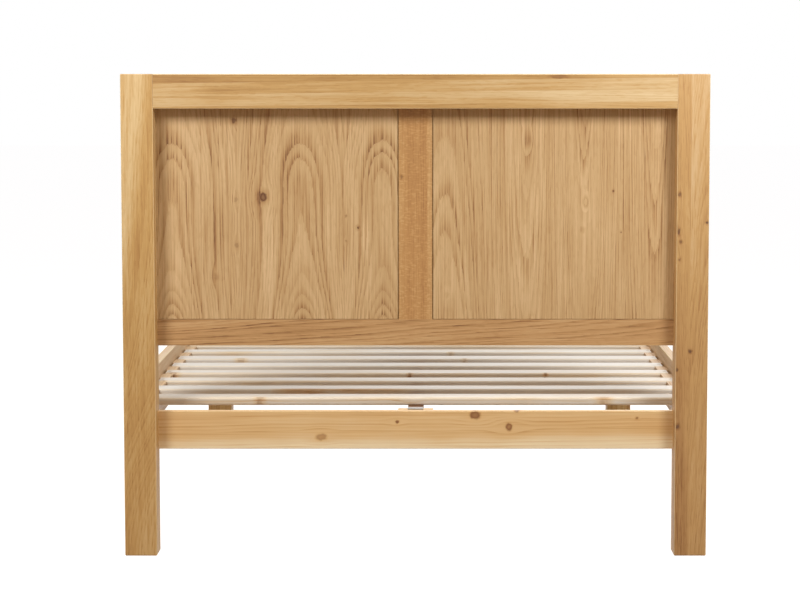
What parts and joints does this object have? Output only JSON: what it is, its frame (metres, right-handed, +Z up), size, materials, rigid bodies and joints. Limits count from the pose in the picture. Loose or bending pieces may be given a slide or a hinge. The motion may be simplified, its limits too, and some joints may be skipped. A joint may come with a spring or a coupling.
{
  "type": "panel bed",
  "caption": "Oak panel bed frame with a tall panelled headboard, low panelled footboard, side rails and a slatted base notched into ledgers.",
  "frame": {"origin": "on the floor, under the middle of the bed's outer box", "axes": "+X across the bed, to the right of someone behind the headboard who looks to the foot; +Y along the bed from the headboard to the footboard; +Z up"},
  "size_m": [1.45, 2.046, 1.2],
  "materials": {
    "oak_post": "laminated solid oak posts, planed, eased edges, thin satin lacquer",
    "oak_rail": "finger-laminated solid oak rails and muntins, planed, thin satin lacquer",
    "oak_veneer_panel": "crown-cut oak veneer on board with small knots, thin satin lacquer",
    "pine_rail": "planed knotty pine, warm clear lacquer",
    "slat_pine": "pale pine slats with rounded edges, left unfinished",
    "ledger_pine": "notched pine ledgers, clear lacquer",
    "beech_dowel": "turned beech, raw",
    "zinc_plate": "stamped steel plate, bright zinc plating",
    "zinc_screw": "zinc-plated steel wood screws"
  },
  "bodies": {
    "root": {"centre_cleat_foot": "pine_rail", "centre_cleat_head": "pine_rail", "centre_hook_foot": "zinc_plate", "centre_hook_head": "zinc_plate", "centre_hook_screws": "zinc_screw", "centre_rail": "pine_rail", "cleat_screws": "zinc_screw", "footboard_bottom_rail": "oak_rail", "footboard_dowels": "beech_dowel", "footboard_muntin": "oak_rail", "footboard_panel_left": "oak_veneer_panel", "footboard_panel_right": "oak_veneer_panel", "footboard_post_left": "oak_post", "footboard_post_right": "oak_post", "footboard_top_rail": "oak_rail", "headboard_bottom_rail": "oak_rail", "headboard_cross_rail": "pine_rail", "headboard_dowels": "beech_dowel", "headboard_muntin": "oak_rail", "headboard_panel_left": "oak_veneer_panel", "headboard_panel_right": "oak_veneer_panel", "headboard_post_left": "oak_post", "headboard_post_right": "oak_post", "headboard_top_rail": "oak_rail", "hook_plate_foot_left": "zinc_plate", "hook_plate_foot_right": "zinc_plate", "hook_plate_head_left": "zinc_plate", "hook_plate_head_right": "zinc_plate", "hook_plate_screws": "zinc_screw", "keeper_plate_foot_left": "zinc_plate", "keeper_plate_foot_right": "zinc_plate", "keeper_plate_head_left": "zinc_plate", "keeper_plate_head_right": "zinc_plate", "keeper_plate_screws": "zinc_screw", "ledger_screws": "zinc_screw", "side_rail_left": "oak_rail", "side_rail_right": "oak_rail", "slat_01": "slat_pine", "slat_02": "slat_pine", "slat_03": "slat_pine", "slat_04": "slat_pine", "slat_05": "slat_pine", "slat_06": "slat_pine", "slat_07": "slat_pine", "slat_08": "slat_pine", "slat_09": "slat_pine", "slat_10": "slat_pine", "slat_11": "slat_pine", "slat_12": "slat_pine", "slat_13": "slat_pine", "slat_ledger_left": "ledger_pine", "slat_ledger_right": "ledger_pine", "slat_screws": "zinc_screw"}
  },
  "joints": []
}
